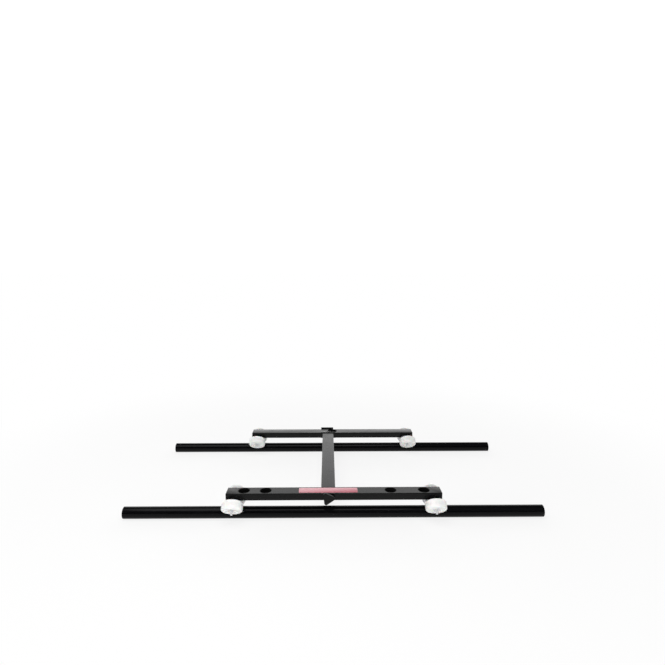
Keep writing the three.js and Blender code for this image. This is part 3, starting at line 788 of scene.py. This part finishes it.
def add_floor():
    """Pale floor. The camera and reflections see it mostly as white, and wholly so from 2 m out."""
    mesh = bpy.data.meshes.new("floor")
    reach = 40
    corners = [(-reach, -reach, 0), (reach, -reach, 0), (reach, reach, 0), (-reach, reach, 0)]
    mesh.from_pydata(corners, [], [(0, 1, 2, 3)])
    floor = bpy.data.objects.new("floor", mesh)
    bpy.context.scene.collection.objects.link(floor)
    finish = Finish("floor_paper")
    grain = finish.noise(3, detail=3)
    colour = finish.mix(grain, (0.88, 0.88, 0.875), (0.905, 0.905, 0.90))
    finish.set("Base Color", colour)
    finish.set("Roughness", 0.9)
    finish.set("Specular IOR Level", 0.1)
    flat = finish.node("ShaderNodeVectorMath", {0: finish.place}, operation="LENGTH").outputs["Value"]
    far = finish.span(flat, 0.5, 2.0, 0.82, 1.0)
    rays = finish.node("ShaderNodeLightPath").outputs
    seen = finish.maths("MAXIMUM", rays["Is Glossy Ray"], rays["Is Transmission Ray"])
    seen = finish.maths("MAXIMUM", rays["Is Camera Ray"], seen)
    white = finish.node("ShaderNodeEmission", {"Color": (1, 1, 1, 1), "Strength": 1.0}).outputs["Emission"]
    share = finish.maths("MULTIPLY", seen, far)
    mixed = finish.node("ShaderNodeMixShader", {0: share, 1: finish.shader.outputs["BSDF"], 2: white})
    output = finish.tree.nodes["Material Output"]
    finish.feed(output.inputs["Surface"], mixed.outputs["Shader"])
    mesh.materials.append(finish.material)


def add_world():
    """White to the camera. Otherwise a plain studio: bright behind the object and dim in front and above."""
    world = bpy.data.worlds.new("studio")
    bpy.context.scene.world = world
    world.use_nodes = True
    nodes = Nodes(world.node_tree)
    place = nodes.node("ShaderNodeTexCoord").outputs["Generated"]
    parts = nodes.node("ShaderNodeSeparateXYZ", {"Vector": place}).outputs
    behind = nodes.span(parts["Y"], -0.15, 0.35)
    low = nodes.span(parts["Z"], 0.80, 0.30)
    glow = nodes.maths("MULTIPLY", nodes.maths("MULTIPLY", behind, low), WORLD_GLOW)
    sky = nodes.maths("ADD", glow, WORLD_DIM)
    rays = nodes.node("ShaderNodeLightPath").outputs
    background = nodes.tree.nodes["Background"]
    nodes.feed(background.inputs["Color"], (1, 1, 1, 1))
    nodes.feed(background.inputs["Strength"], nodes.maths("MAXIMUM", sky, rays["Is Camera Ray"]))


def add_lamp(name, place, target, size, level, glossy):
    """A soft box. Its level is the brightness of its face, where 1 is white."""
    lamp = bpy.data.lights.new(name, "AREA")
    lamp.shape = "RECTANGLE"
    lamp.size, lamp.size_y = size
    lamp.energy = level * size[0] * size[1] * math.pi
    obj = bpy.data.objects.new(name, lamp)
    bpy.context.scene.collection.objects.link(obj)
    obj.location = place
    obj.rotation_euler = (Vector(target) - Vector(place)).to_track_quat("-Z", "Y").to_euler()
    obj.visible_camera = False
    obj.visible_glossy = glossy


def add_lamps():
    add_lamp("overhead", (-0.45, -0.72, 2.0), (-0.45, -0.72, 0), (2.1, 1.6), 2.5, True)
    add_lamp("front_left", (-1.8, -2.4, 1.8), (0, 0, 0), (1.4, 1.4), 1.3, False)
    add_lamp("front_right", (1.8, -2.4, 1.8), (0, 0, 0), (1.4, 1.4), 1.1, False)
    add_lamp("front_low", (0, -3.2, 0.5), (0, 0, 0.05), (3.0, 0.8), 5.9, False)
    add_lamp("rear_fill", (0.3, 2.6, 1.2), (0, 0, 0), (2.4, 1.2), 1.8, False)


def add_camera():
    data = bpy.data.cameras.new("camera")
    data.lens = CAMERA_LENS
    data.sensor_width = CAMERA_SENSOR
    data.sensor_fit = "HORIZONTAL"
    data.clip_start = 0.05
    data.clip_end = 100
    camera = bpy.data.objects.new("camera", data)
    bpy.context.scene.collection.objects.link(camera)
    camera.location = Vector(CAMERA_PLACE) * MM
    camera.rotation_euler = (math.pi / 2 + CAMERA_PITCH, 0, CAMERA_YAW)
    bpy.context.scene.camera = camera


add_camera()
add_floor()
add_world()
add_lamps()
bpy.context.scene.view_settings.view_transform = "Standard"

add_rail("front", -GAUGE / 2)
add_rail("rear", GAUGE / 2)
front_cups = {
    "outer_left": -OUTER_CUP_X,
    "inner_left": CENTRE_X - INNER_CUP_X,
    "inner_right": CENTRE_X + INNER_CUP_X,
    "outer_right": OUTER_CUP_X,
}
add_cross_bar("front", -GAUGE / 2, front_cups)
add_cross_bar("rear", GAUGE / 2, {"middle": 0})
add_centre_bar()
add_saddle()
add_label()
add_clamp()

# CAD nodes that stay as they are get the steel of the bolts and bearings
for node in ("centre_plug_front", "centre_plug_rear", "clamp_bolt"):
    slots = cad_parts[node].data.materials
    slots.clear()
    slots.append(STEEL)
